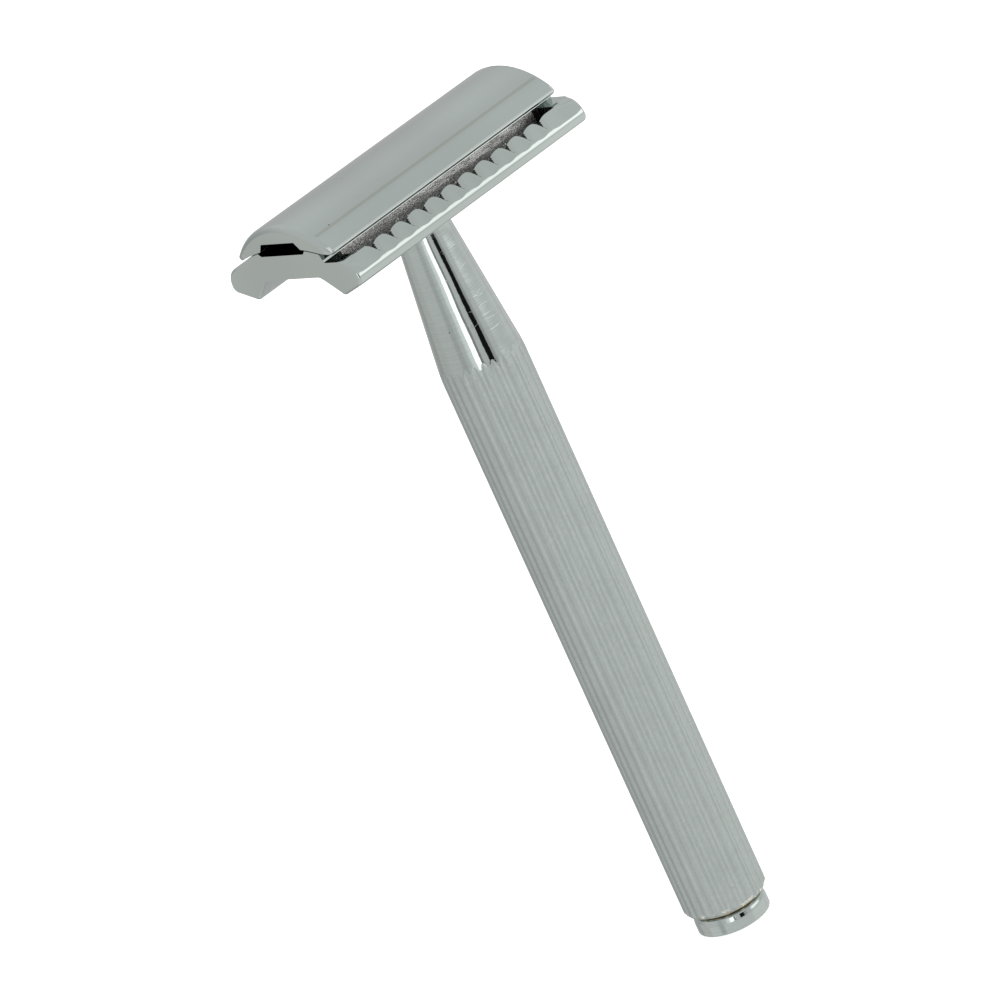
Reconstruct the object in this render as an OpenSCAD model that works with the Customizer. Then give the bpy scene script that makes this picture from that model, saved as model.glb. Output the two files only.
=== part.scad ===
// Two-piece double-edge safety razor with a twist knob.
// The handle and the base plate stay together. The knob turns a long rod
// inside the handle, and a threaded socket on the rod's top draws the cap's
// stud down, which clamps the cap over the base plate.
// Frame: the razor stands on its knob. The origin is the centre of the knob's
// flat bottom, +Z runs up the handle, X runs along the blade edges.
// All sizes are in millimetres.

/* [Head] */
// Length of the cap and the base plate along the blade edges
head_len = 41; // [34:0.5:50]
// Width over the outer faces of the two safety bars
head_w = 24; // [22:0.5:29]
// Width of the cap over its long edges
cap_w = 17.5; // [15:0.1:20]
// Radius of the cap's crown
cap_r = 12; // [10.6:0.1:15]
// Height of the cap's crown above the blade bed
cap_h = 3.8; // [3.4:0.05:4.6]
// Thickness of the base plate at its middle
plate_t = 3.15; // [2.6:0.05:3.9]
// Height of a safety bar from its top to its lowest edge
bar_h = 4.4; // [3.6:0.05:5.3]
// Thickness of the blade that the clamp is made for
blade_t = 0.1; // [0.08:0.01:0.12]

/* [Safety bar] */
// Distance from one scallop to the next along the bar
scallop_pitch = 3; // [2.5:0.05:3.6]
// Number of scallops on each bar
scallops = 12; // [8:1:12]
// Depth of a scallop below the bar's crown
scallop_depth = 0.45; // [0.37:0.01:0.54]
// Radius of the bar's rounded outer face
bar_r = 2.45; // [2.05:0.05:2.95]

/* [Handle] */
// Diameter of the grip
grip_d = 11; // [9.2:0.1:13.2]
// Length of the fluted grip
grip_len = 76.7; // [60:0.5:95]
// Length of the tapered neck
neck_len = 20.9; // [17.4:0.1:26]
// Diameter of the neck at its thin end
neck_d = 7; // [6.2:0.1:8.4]
// Number of flutes around the grip
flutes = 28; // [20:1:34]
// Depth of a flute
flute_depth = 0.14; // [0.1:0.01:0.18]
// Radius of the cutter that makes a flute
flute_r = 1; // [0.8:0.05:1.2]
// Wall of the handle around the bottom bush
tube_wall = 1.4; // [1:0.05:1.7]

/* [Knob] */
// Diameter of the knob
knob_d = 9.6; // [9:0.1:11.5]
// Height of the knob's visible rim
knob_h = 2.3; // [1.9:0.05:3]
// Diameter of the knob's hub, which turns in the bottom bush
hub_d = 5.4; // [5:0.05:5.9]
// Thickness of the brass thrust washer above the knob
thrust_t = 0.5; // [0.4:0.05:0.7]

/* [Drawbar] */
// Diameter of the stud's thread
thread_d = 4; // [3.4:0.1:4.8]
// Pitch of the stud's thread
thread_pitch = 0.7; // [0.5:0.05:0.85]
// Turns of the knob that take the stud out of its socket
thread_turns = 8; // [6:1:9]
// Wall of the threaded socket
socket_wall = 0.5; // [0.4:0.05:0.7]
// Length of the threaded socket
socket_len = 11; // [10:0.5:13.2]
// Diameter of the draw rod
rod_d = 3.5; // [3:0.1:4.2]
// Length of the bottom bush
bush_len = 6; // [5:0.1:7.5]
// Diameter of the two cross pins that hold the rod
cross_pin_d = 1; // [0.8:0.05:1.2]

/* [Fits] */
// Radial clearance of a turning or sliding fit
run_fit = 0.05; // [0.03:0.01:0.08]
// Axial play of a turning part
play = 0.05; // [0.03:0.01:0.1]
// Radial clearance of a locating pin in its hole
pin_fit = 0.1; // [0.08:0.01:0.2]

/* [Hidden] */
$fn = 64;
eps = 0.01;

// Radii that follow from the diameters
grip_r = grip_d / 2;
neck_r = neck_d / 2;
knob_r = knob_d / 2;
hub_r = hub_d / 2;
thread_r = thread_d / 2;
rod_r = rod_d / 2;
half_w = head_w / 2;

// Fits of the drawbar in the neck
thread_depth = 0.54 * thread_pitch;
root_r = thread_r - thread_depth;
tapped_r = thread_r + run_fit;
socket_r = tapped_r + socket_wall;
guide_r = socket_r + run_fit;
stud_hole_r = thread_r + pin_fit;
engage = thread_turns * thread_pitch;
core_gap = 1.1;
thin_wall = 0.5;
core_r = min(rod_r + core_gap, neck_r - thin_wall);

// Heights from the knob up to the bottom of the neck
washer_t = 0.4;
clip_t = 0.5;
hub_end = 0.8;
end_gap = 0.5;
thrust_z = knob_h + play;
tube_z = thrust_z + thrust_t;
bush_top = tube_z + bush_len;
clip_z = bush_top + play + washer_t + play;
hub_top = clip_z + clip_t + hub_end;
cartridge_top = hub_top + end_gap;
bush_r = grip_r - tube_wall;
neck_z = tube_z + grip_len;
neck_top = neck_z + neck_len;

// The hub's groove for the retaining clip
groove_r = hub_r - 0.35;

// Heights of the head
boss_h = 1.75;
boss_r = neck_r + 0.6;
under_z = neck_top + boss_h;
bed_z = under_z + plate_t;
flange_t = 0.6;
flange_r = guide_r + 0.8;
ferrule_len = 3;

// Heights of the drawbar
ferrule_gap = 0.3;
tip_gap = 1.4;
rod_floor = 0.9;
pin_inset = 0.2;
socket_top = neck_top - ferrule_len - ferrule_gap;
socket_z = socket_top - socket_len;
stud_tip = socket_top - engage;
rod_top = stud_tip - tip_gap;
knob_pin_z = tube_z + bush_len / 2;
socket_pin_z = (socket_z + rod_top) / 2;

// Cross section of the head, measured out from the middle and up from the bed
clamp_gap = blade_t + 0.02;
bed_half = 3.9;
recess_half = 3.75;
recess_top_half = 3.05;
recess_h = 1.6;
pad_r = 25;
pad_crown = 0.9;
rim_low = -0.45;
rim_round = 0.35;
cap_end_r = 0.8;
ledge_half = cap_w / 2 - 2.15;
land_z = -1.3;
toe_r = 0.95;
heel_r = 0.7;
bar_c = [half_w - bar_r, land_z - bar_r];
heel_c = [bar_c[0] - 1.4, land_z - bar_h + heel_r];
toe_c = [half_w - toe_r, bar_c[1]];
under_half = heel_c[0] - 3.4;
gutter_in = ledge_half + 0.55;
gutter_out = bar_c[0] - 0.75;
gutter_floor = land_z - 1.7;
end_land = 2;

// Scallops along the bar
scallop_r = (pow(scallop_pitch / 2, 2) + pow(scallop_depth, 2)) / (2 * scallop_depth);
scallop_tilt = 45;
gutter_len = min(scallops * scallop_pitch, head_len - 2 * end_land);

// Locating pins
pin_r = 1;
pin_x = head_len * 0.31;
pin_root = recess_h + 1;
pin_tip = -2.6;

// Points of an arc about c from angle a to angle b, in n steps
function arc(c, r, a, b, n = 8) =
    [for (i = [0 : n]) c + r * [cos(a + (b - a) * i / n), sin(a + (b - a) * i / n)]];

// Height of a crowned surface of radius r and top at crown, at the offset y
function crowned(crown, r, y) = crown - r + sqrt(r * r - y * y);

// A list of points mirrored to the other side and joined with the first half
function both_sides(half) =
    concat(half, [for (i = [len(half) - 1 : -1 : 0]) [-half[i][0], half[i][1]]]);

// Draws its 2D children, seen from the end of the head, along X
module along_x(len) {
    rotate([90, 0, 90]) linear_extrude(len, center = true) children();
}

// A ring between two radii
module ring(r_in, r_out, h) {
    difference() {
        cylinder(r = r_out, h = h);
        translate([0, 0, -eps]) cylinder(r = r_in, h = h + 2 * eps);
    }
}

// ---- Cap ----

// Half outline of the cap's sides and underside, from over the crown to the recess
function cap_half() =
    let (
        rim_y = cap_w / 2,
        edge_y = rim_y - rim_round,
        pad_y = edge_y - rim_round
    )
    concat(
        [[rim_y, cap_h + 1]],
        arc([edge_y, rim_low + rim_round], rim_round, 0, -90, 6),
        [for (i = [0 : 8]) let (y = pad_y + (recess_half - pad_y) * i / 8)
            [y, crowned(pad_crown, pad_r, y)]],
        [[recess_top_half, recess_h]]
    );

// Round bar along X whose surface is the cap's crown, with rounded ends
module crown() {
    mid = cap_r - cap_end_r;
    end = head_len / 2;
    translate([0, 0, cap_h - cap_r]) rotate([0, 90, 0]) rotate_extrude($fn = 96) polygon(concat(
        [[0, -end]],
        arc([mid, cap_end_r - end], cap_end_r, -90, 0, 6),
        arc([mid, end - cap_end_r], cap_end_r, 0, 90, 6),
        [[0, end]]
    ));
}

module cap() {
    post_r = thread_r + 1.1;
    color("silver") translate([0, 0, bed_z]) difference() {
        union() {
            intersection() {
                along_x(head_len + 1) polygon(both_sides(cap_half()));
                crown();
            }
            translate([0, 0, clamp_gap]) cylinder(r = post_r, h = recess_h);
        }
        translate([0, 0, clamp_gap - eps]) cylinder(r = root_r, h = pin_root);
        for (side = [-1, 1])
            translate([side * pin_x, 0, clamp_gap]) cylinder(r = pin_r, h = pin_root - clamp_gap);
    }
}

// Threaded stud: ring grooves at the pitch of the thread stand for its helix
module cap_stud() {
    shank_top = bed_z + clamp_gap + pin_root - eps;
    thread_top = neck_top - ferrule_len;
    lead = 0.6;
    crest = 0.08;
    floor_half = 0.05;
    grooves = floor((thread_top - stud_tip - lead) / thread_pitch);
    color("gainsboro") rotate_extrude() polygon(concat(
        [[0, stud_tip], [root_r, stud_tip], [thread_r, stud_tip + thread_depth]],
        [for (i = [0 : grooves - 1]) let (z = stud_tip + lead + i * thread_pitch, mid = z + thread_pitch / 2)
            each [[thread_r, z], [root_r, mid - floor_half],
                [root_r, mid + floor_half], [thread_r, z + thread_pitch - crest]]],
        [[thread_r, bed_z - eps], [root_r, bed_z + clamp_gap], [root_r, shank_top], [0, shank_top]]
    ));
}

// The two pins that centre the cap on the base plate
module cap_pins() {
    tip_bevel = 0.3;
    color("silver") for (side = [-1, 1])
        translate([side * pin_x, 0, bed_z + pin_tip]) rotate_extrude() polygon([
            [0, 0], [pin_r - tip_bevel, 0], [pin_r, tip_bevel],
            [pin_r, pin_root - pin_tip], [0, pin_root - pin_tip]]);
}

// ---- Base plate ----

// Half outline of the base plate from its bed to the bar and back below
function plate_half() =
    let (
        bed_crown = pad_crown - clamp_gap,
        ridge_in = bed_half + 0.45,
        ledge_step = 0.6,
        under_fillet = [0.75, 0.35]
    )
    concat(
        [[bed_half, 0]],
        [for (i = [0 : 6]) let (y = ridge_in + (ledge_half - ridge_in) * i / 6)
            [y, crowned(bed_crown, pad_r, y)]],
        [[ledge_half + ledge_step, land_z]],
        arc(bar_c, bar_r, 90, 0, 16),
        arc(toe_c, toe_r, -10, -70, 6),
        arc(heel_c, heel_r, -70, -145, 6),
        [[under_half + under_fillet[0], -plate_t - under_fillet[1]], [under_half, -plate_t]]
    );

// Cutter of the gutter, whose outer side leaves the bar's inner edge rounded
module gutter_cutter() {
    lip_r = bar_c[0] - gutter_out;
    wall_top = [gutter_in - 0.2, land_z + 0.2];
    above = 1;
    along_x(gutter_len) polygon(concat(
        [[wall_top[0], land_z + above], wall_top, [gutter_in, gutter_floor], [gutter_out, gutter_floor]],
        arc([bar_c[0], land_z - lip_r], lip_r, 180, 90, 6),
        [[bar_c[0], land_z + above]]
    ));
}

// Row of round cutters that leave the scallops on one bar
module scallop_cutters() {
    normal = [sin(scallop_tilt), cos(scallop_tilt)];
    axis = bar_c + (bar_r + scallop_r - scallop_depth) * normal;
    for (i = [0 : scallops - 1])
        translate([(i - (scallops - 1) / 2) * scallop_pitch, axis[0], axis[1]])
            rotate([90 - scallop_tilt, 0, 0]) cylinder(r = scallop_r, h = 4 * bar_r, center = true);
}

module base_plate() {
    color("silver") translate([0, 0, bed_z]) difference() {
        union() {
            along_x(head_len) polygon(both_sides(plate_half()));
            translate([0, 0, -plate_t - boss_h]) cylinder(r = boss_r, h = boss_h + eps);
        }
        for (side = [0, 1]) mirror([0, side, 0]) {
            gutter_cutter();
            scallop_cutters();
        }
        translate([0, 0, -plate_t - boss_h - eps]) cylinder(r = guide_r, h = plate_t + boss_h + 1);
        translate([0, 0, -flange_t]) cylinder(r = flange_r, h = flange_t + 1);
        for (side = [-1, 1])
            translate([side * pin_x, 0, -plate_t - 1]) cylinder(r = pin_r + pin_fit, h = plate_t + 2);
    }
}

// Flanged ferrule that is pressed through the base plate into the neck
module neck_ferrule() {
    bottom = neck_top - ferrule_len;
    color("goldenrod") difference() {
        union() {
            translate([0, 0, bottom]) cylinder(r = guide_r, h = bed_z - bottom - eps);
            translate([0, 0, bed_z - flange_t]) cylinder(r = flange_r, h = flange_t);
        }
        translate([0, 0, bottom - 1]) cylinder(r = stud_hole_r, h = bed_z);
    }
}

// ---- Handle ----

// Outline of the handle from its bottom edge up the grip and the neck
function handle_outline() =
    let (
        edge = [0.25, 0.7],
        blend = 20,
        collar = 2.6,
        flare_h = 1.3,
        flare = [0.06, 0.25],
        slope = atan((grip_r - neck_r) / (neck_len - collar)),
        blend_c = [grip_r - blend, neck_z - blend * tan(slope / 2)]
    )
    concat(
        [[grip_r - edge[0], tube_z], [grip_r, tube_z + edge[1]]],
        arc(blend_c, blend, 0, slope, 6),
        [[neck_r, neck_top - collar], [neck_r + flare[0], neck_top - flare_h], [neck_r + flare[1], neck_top]]
    );

module handle_tube() {
    guide_z = socket_z - play - thin_wall;
    flute_over = 10;
    color("lightgray") difference() {
        rotate_extrude($fn = 96) polygon(concat([[0, neck_top], [0, tube_z]], handle_outline()));
        translate([0, 0, tube_z - eps]) cylinder(r = bush_r, h = cartridge_top - tube_z + eps);
        translate([0, 0, tube_z]) cylinder(r = core_r, h = guide_z - tube_z);
        translate([0, 0, guide_z - eps]) cylinder(r = guide_r, h = neck_top - guide_z + 1);
        for (i = [0 : flutes - 1])
            rotate([0, 0, i * 360 / flutes]) translate([grip_r + flute_r - flute_depth, 0, tube_z - 1])
                cylinder(r = flute_r, h = grip_len + flute_over);
    }
}

// ---- Drawbar ----

// Hole or pin of the cross pin's size, across the handle's axis at height z
module across(z, len) {
    translate([0, 0, z]) rotate([90, 0, 0]) cylinder(d = cross_pin_d, h = len, center = true);
}

module draw_rod() {
    color("darkgray") difference() {
        translate([0, 0, rod_floor]) cylinder(r = rod_r, h = rod_top - rod_floor);
        across(knob_pin_z, 4 * rod_r);
        across(socket_pin_z, 4 * rod_r);
    }
}

// Socket with a tapped bore above, a bore for the rod below and a vent between
module rod_socket() {
    vent_r = 1;
    relief = 0.6;
    color("goldenrod") difference() {
        translate([0, 0, socket_z]) cylinder(r = socket_r, h = socket_len);
        translate([0, 0, socket_z - eps]) cylinder(r = rod_r, h = rod_top - socket_z + eps);
        translate([0, 0, rod_top - eps]) cylinder(r = vent_r, h = tip_gap);
        translate([0, 0, stud_tip - relief]) cylinder(r = tapped_r, h = engage + relief + 1);
        across(socket_pin_z, 4 * socket_r);
    }
}

// Pin across the socket and the rod
module socket_pin() {
    color("dimgray") across(socket_pin_z, 2 * (socket_r - pin_inset));
}

// ---- Bottom end ----

module bottom_bush() {
    color("goldenrod") translate([0, 0, tube_z]) ring(hub_r + run_fit, bush_r, bush_len);
}

// Brass washer that shows as a thin ring between the knob and the handle
module thrust_washer() {
    ring_inset = 0.45;
    color("goldenrod") translate([0, 0, thrust_z]) ring(hub_r + pin_fit, knob_r - ring_inset, thrust_t);
}

module clip_washer() {
    color("goldenrod") translate([0, 0, bush_top]) ring(hub_r + pin_fit, bush_r - pin_fit, washer_t);
}

// Open ring that sits in the hub's groove and keeps the knob in the bush
module retaining_clip() {
    clip_r = min(hub_r + 0.8, bush_r - 0.2);
    mouth = 1.8;
    color("dimgray") translate([0, 0, clip_z]) difference() {
        ring(groove_r, clip_r, clip_t);
        translate([0, -mouth / 2, -eps]) cube([2 * clip_r, mouth, clip_t + 2 * eps]);
    }
}

module knob() {
    rim_r = 0.6;
    bevel = [0.4, 0.3];
    draft = 0.16;
    groove_low = clip_z - play / 2;
    groove_high = clip_z + clip_t + play / 2;
    color("whitesmoke") difference() {
        rotate_extrude($fn = 96) polygon(concat(
            [[0, 0]],
            arc([knob_r - rim_r, rim_r], rim_r, -90, 0, 8),
            [[knob_r - draft, knob_h - bevel[1]], [knob_r - bevel[0], knob_h], [hub_r, knob_h]],
            [[hub_r, groove_low], [groove_r, groove_low], [groove_r, groove_high], [hub_r, groove_high]],
            [[hub_r, hub_top], [0, hub_top]]
        ));
        translate([0, 0, rod_floor]) cylinder(r = rod_r, h = hub_top);
        across(knob_pin_z, 4 * hub_r);
    }
}

// Pin across the knob's hub and the rod
module knob_pin() {
    color("dimgray") across(knob_pin_z, 2 * (hub_r - pin_inset));
}

cap();
cap_stud();
cap_pins();
base_plate();
neck_ferrule();
handle_tube();
draw_rod();
rod_socket();
socket_pin();
bottom_bush();
thrust_washer();
clip_washer();
retaining_clip();
knob();
knob_pin();
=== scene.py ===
"""Polished safety razor on a pale studio floor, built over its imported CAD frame.

Lengths in the dataclass fields are millimetres; everything in Blender is metres.
"""

import logging
import math
from dataclasses import dataclass, field
from enum import Enum, IntEnum
from typing import Iterable, Sequence

import bmesh
import bpy
from mathutils import Matrix, Vector


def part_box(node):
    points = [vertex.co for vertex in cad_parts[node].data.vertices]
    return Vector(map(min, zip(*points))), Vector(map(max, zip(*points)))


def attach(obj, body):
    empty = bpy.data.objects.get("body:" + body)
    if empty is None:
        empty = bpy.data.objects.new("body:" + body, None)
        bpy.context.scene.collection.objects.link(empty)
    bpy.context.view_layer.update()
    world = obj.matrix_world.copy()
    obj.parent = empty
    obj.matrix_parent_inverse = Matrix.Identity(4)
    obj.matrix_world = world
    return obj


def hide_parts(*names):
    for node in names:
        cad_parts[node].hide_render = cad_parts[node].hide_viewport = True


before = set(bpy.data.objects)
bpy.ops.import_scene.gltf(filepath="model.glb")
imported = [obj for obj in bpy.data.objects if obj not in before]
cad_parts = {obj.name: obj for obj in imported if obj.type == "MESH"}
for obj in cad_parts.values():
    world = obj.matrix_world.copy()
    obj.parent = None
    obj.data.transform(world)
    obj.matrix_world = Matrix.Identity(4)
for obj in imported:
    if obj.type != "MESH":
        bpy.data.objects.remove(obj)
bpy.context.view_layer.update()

MM = 0.001
MERGE_DISTANCE = 2e-7
SEAM_DISTANCE = 5 * MERGE_DISTANCE
SMALLEST_NUDGE = 1e-7
LOG = logging.getLogger("razor")

Point = tuple[float, float, float]
Colour = tuple[float, float, float]
Flat = tuple[float, float]
Piece = bpy.types.Object
Material = bpy.types.Material
Socket = bpy.types.NodeSocket


class Body(Enum):
    """The bodies that the pieces ride on."""

    HANDLE = "handle"
    DRAWBAR = "drawbar"
    CAP = "cap"


class Slot(Enum):
    """The record's finishes that the modelled pieces get."""

    CHROME = "polished_chrome"
    SATIN = "satin_chrome"
    BRASS = "brass"


# ---- Modelling steps ----


def deselect_all() -> None:
    """Leaves edit mode and drops the whole selection."""
    if bpy.context.object and bpy.context.object.mode != "OBJECT":
        bpy.ops.object.mode_set(mode="OBJECT")
    bpy.ops.object.select_all(action="DESELECT")


def select_only(*pieces: Piece) -> None:
    """Selects pieces and nothing else, and makes the last one active.

    Args:
        pieces: the mesh objects.
    """
    deselect_all()
    for piece in pieces:
        piece.select_set(True)
    bpy.context.view_layer.objects.active = pieces[-1]


def arc(centre: Flat, radius: float, start: float, end: float, steps: int) -> list[Flat]:
    """Points along an arc in a section.

    Args:
        centre: middle of the arc.
        radius: its radius.
        start: first angle in degrees, from the first axis towards the second.
        end: last angle in degrees.
        steps: number of equal steps.

    Returns:
        The points, both ends included.
    """
    turns = [math.radians(start + (end - start) * i / steps) for i in range(steps + 1)]
    return [(centre[0] + radius * math.cos(t), centre[1] + radius * math.sin(t)) for t in turns]


@dataclass
class Bench:
    """One piece on the bench: a mesh that is shaped step by step in edit mode."""

    name: str
    piece: Piece = field(init=False)

    def __post_init__(self) -> None:
        """Adds a small plane and gathers it into the single point that modelling starts from."""
        deselect_all()
        bpy.ops.mesh.primitive_plane_add(size=MM, location=(0, 0, 0), enter_editmode=True)
        self.piece = bpy.context.object
        self.piece.name = self.piece.data.name = self.name
        bpy.ops.mesh.select_mode(type="VERT")
        bpy.ops.mesh.select_all(action="SELECT")
        bpy.ops.mesh.merge(type="CENTER")
        bpy.ops.mesh.select_all(action="SELECT")

    def choose(self, row: Sequence[int], wanted: Sequence[int]) -> None:
        """Selects the wanted points of a row and drops its others.

        Args:
            row: numbers of the row's points.
            wanted: numbers of the points to select.
        """
        shape = bmesh.from_edit_mesh(self.piece.data)
        shape.verts.ensure_lookup_table()
        for index in row:
            shape.verts[index].select = index in wanted

    def trace(self, points: Sequence[Point]) -> None:
        """Draws a line of edges from the single point, which lies at the origin.

        Args:
            points: its corners in millimetres.
        """
        bpy.ops.transform.translate(value=Vector(points[0]) * MM)
        for a, b in zip(points, points[1:]):
            step = (Vector(b) - Vector(a)) * MM
            bpy.ops.mesh.extrude_region_move(TRANSFORM_OT_translate={"value": step})
        bpy.ops.mesh.select_all(action="SELECT")

    def carry(self, before: Sequence[Point], after: Sequence[Point]) -> None:
        """Extrudes the selected line to its next section and shapes it there.

        Args:
            before: places of the line's points, in millimetres.
            after: places of the same points in the next section.
        """
        a, b = [Vector(p) for p in before], [Vector(p) for p in after]
        shift = sum(((q - p) for p, q in zip(a, b)), Vector()) / len(a)
        bpy.ops.mesh.extrude_region_move(TRANSFORM_OT_translate={"value": shift * MM})
        shape = bmesh.from_edit_mesh(self.piece.data)
        row = sorted(v.index for v in shape.verts if v.select)
        for index, p, q in zip(row, a, b):
            nudge = q - p - shift
            if nudge.length > SMALLEST_NUDGE:
                self.choose(row, [index])
                bpy.ops.transform.translate(value=nudge * MM)
        self.choose(row, row)
        bmesh.from_edit_mesh(self.piece.data).select_flush_mode()

    def loft(self, rows: Sequence[Sequence[Point]]) -> None:
        """Draws the first section and carries it through all the others.

        Args:
            rows: sections with equal numbers of points, in millimetres.
        """
        self.trace(rows[0])
        for before, after in zip(rows, rows[1:]):
            self.carry(before, after)

    def turn(self, steps: int, copies: bool = False) -> None:
        """Spins all that is there once round the handle's axis.

        Args:
            steps: steps of the full turn.
            copies: whether each step is a copy instead of a sweep.
        """
        bpy.ops.mesh.select_all(action="SELECT")
        bpy.ops.mesh.spin(steps=steps, dupli=copies, angle=math.tau, center=(0, 0, 0), axis=(0, 0, 1))

    def clean(self) -> None:
        """Merges what lies together and turns all faces outwards."""
        bpy.ops.mesh.select_all(action="SELECT")
        bpy.ops.mesh.remove_doubles(threshold=MERGE_DISTANCE)
        bpy.ops.mesh.dissolve_degenerate(threshold=MERGE_DISTANCE)
        bpy.ops.mesh.select_all(action="SELECT")
        bpy.ops.mesh.normals_make_consistent(inside=False)

    def leave(self) -> Piece:
        """Goes back to object mode and returns the piece."""
        bpy.ops.object.mode_set(mode="OBJECT")
        return self.piece


def tidy_shell(piece: Piece) -> None:
    """Merges a shell's seams, fills its open rims and turns its faces outwards.

    Args:
        piece: the mesh object.
    """
    select_only(piece)
    bpy.ops.object.mode_set(mode="EDIT")
    bpy.ops.mesh.select_all(action="SELECT")
    bpy.ops.mesh.remove_doubles(threshold=SEAM_DISTANCE)
    bpy.ops.mesh.select_all(action="DESELECT")
    bpy.ops.mesh.select_non_manifold(use_non_contiguous=False, use_multi_face=False)
    bpy.ops.mesh.edge_face_add()
    bpy.ops.mesh.select_all(action="SELECT")
    bpy.ops.mesh.normals_make_consistent(inside=False)
    bpy.ops.object.mode_set(mode="OBJECT")


def apply_modifier(piece: Piece, kind: str, **settings: object) -> None:
    """Adds one modifier to a piece and applies it at once.

    Args:
        piece: the mesh object.
        kind: Blender's name of the modifier's type.
        settings: its properties.
    """
    select_only(piece)
    modifier = piece.modifiers.new(kind.title(), kind)
    for name, value in settings.items():
        setattr(modifier, name, value)
    bpy.ops.object.modifier_apply(modifier=modifier.name)


def cut_away(piece: Piece, cutters: Iterable[Piece], how: str = "DIFFERENCE") -> None:
    """Cuts, joins or crosses a piece with others, which are used up.

    Args:
        piece: the mesh object that stays.
        cutters: the others.
        how: the boolean operation.
    """
    for cutter in cutters:
        apply_modifier(piece, "BOOLEAN", operation=how, solver="EXACT", object=cutter)
        bpy.data.objects.remove(cutter)


def drum(radius: float, low: float, high: float, at: Flat = (0, 0), sides: int = 96) -> Piece:
    """A plain round cutter that stands along the handle's axis.

    Args:
        radius: its radius in millimetres.
        low: height of its lower end.
        high: height of its upper end.
        at: place of its axis.
        sides: number of its sides.

    Returns:
        The cutter.
    """
    deselect_all()
    bpy.ops.mesh.primitive_cylinder_add(
        vertices=sides, radius=radius * MM, depth=(high - low) * MM,
        location=(at[0] * MM, at[1] * MM, (low + high) / 2 * MM),
    )
    bpy.ops.object.transform_apply(location=True, rotation=True, scale=True)
    return bpy.context.object


def smooth(piece: Piece, angle: float, weighted: bool = True) -> None:
    """Shades a piece smooth up to an angle and lets its large faces lead the shading.

    Args:
        piece: the mesh object.
        angle: largest angle that stays smooth, in degrees.
        weighted: whether the large faces lead.
    """
    select_only(piece)
    bpy.ops.object.shade_smooth_by_angle(angle=math.radians(angle))
    if weighted:
        apply_modifier(piece, "WEIGHTED_NORMAL", keep_sharp=True, weight=60)


def turned(name: str, outline: Sequence[Flat], steps: int = 192) -> Piece:
    """A piece turned on the lathe from its half outline.

    Args:
        name: the piece's name.
        outline: points of radius and height in millimetres, first and last on the axis or together.
        steps: steps of the full turn.

    Returns:
        The piece.
    """
    bench = Bench(name)
    bench.trace([(r, 0.0, z) for r, z in outline])
    bench.turn(steps)
    bench.clean()
    return bench.leave()


def seat(piece: Piece, body: Body, node: str) -> None:
    """Puts a finished piece in its body, in the place of a CAD node.

    Args:
        piece: the finished mesh object.
        body: the body that it moves with.
        node: the CAD node that it stands for.
    """
    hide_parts(node)
    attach(piece, body.value)
    LOG.info("%s: %d faces, rides on %s", piece.name, len(piece.data.polygons), body.value)


# ---- Shader tools ----


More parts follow.
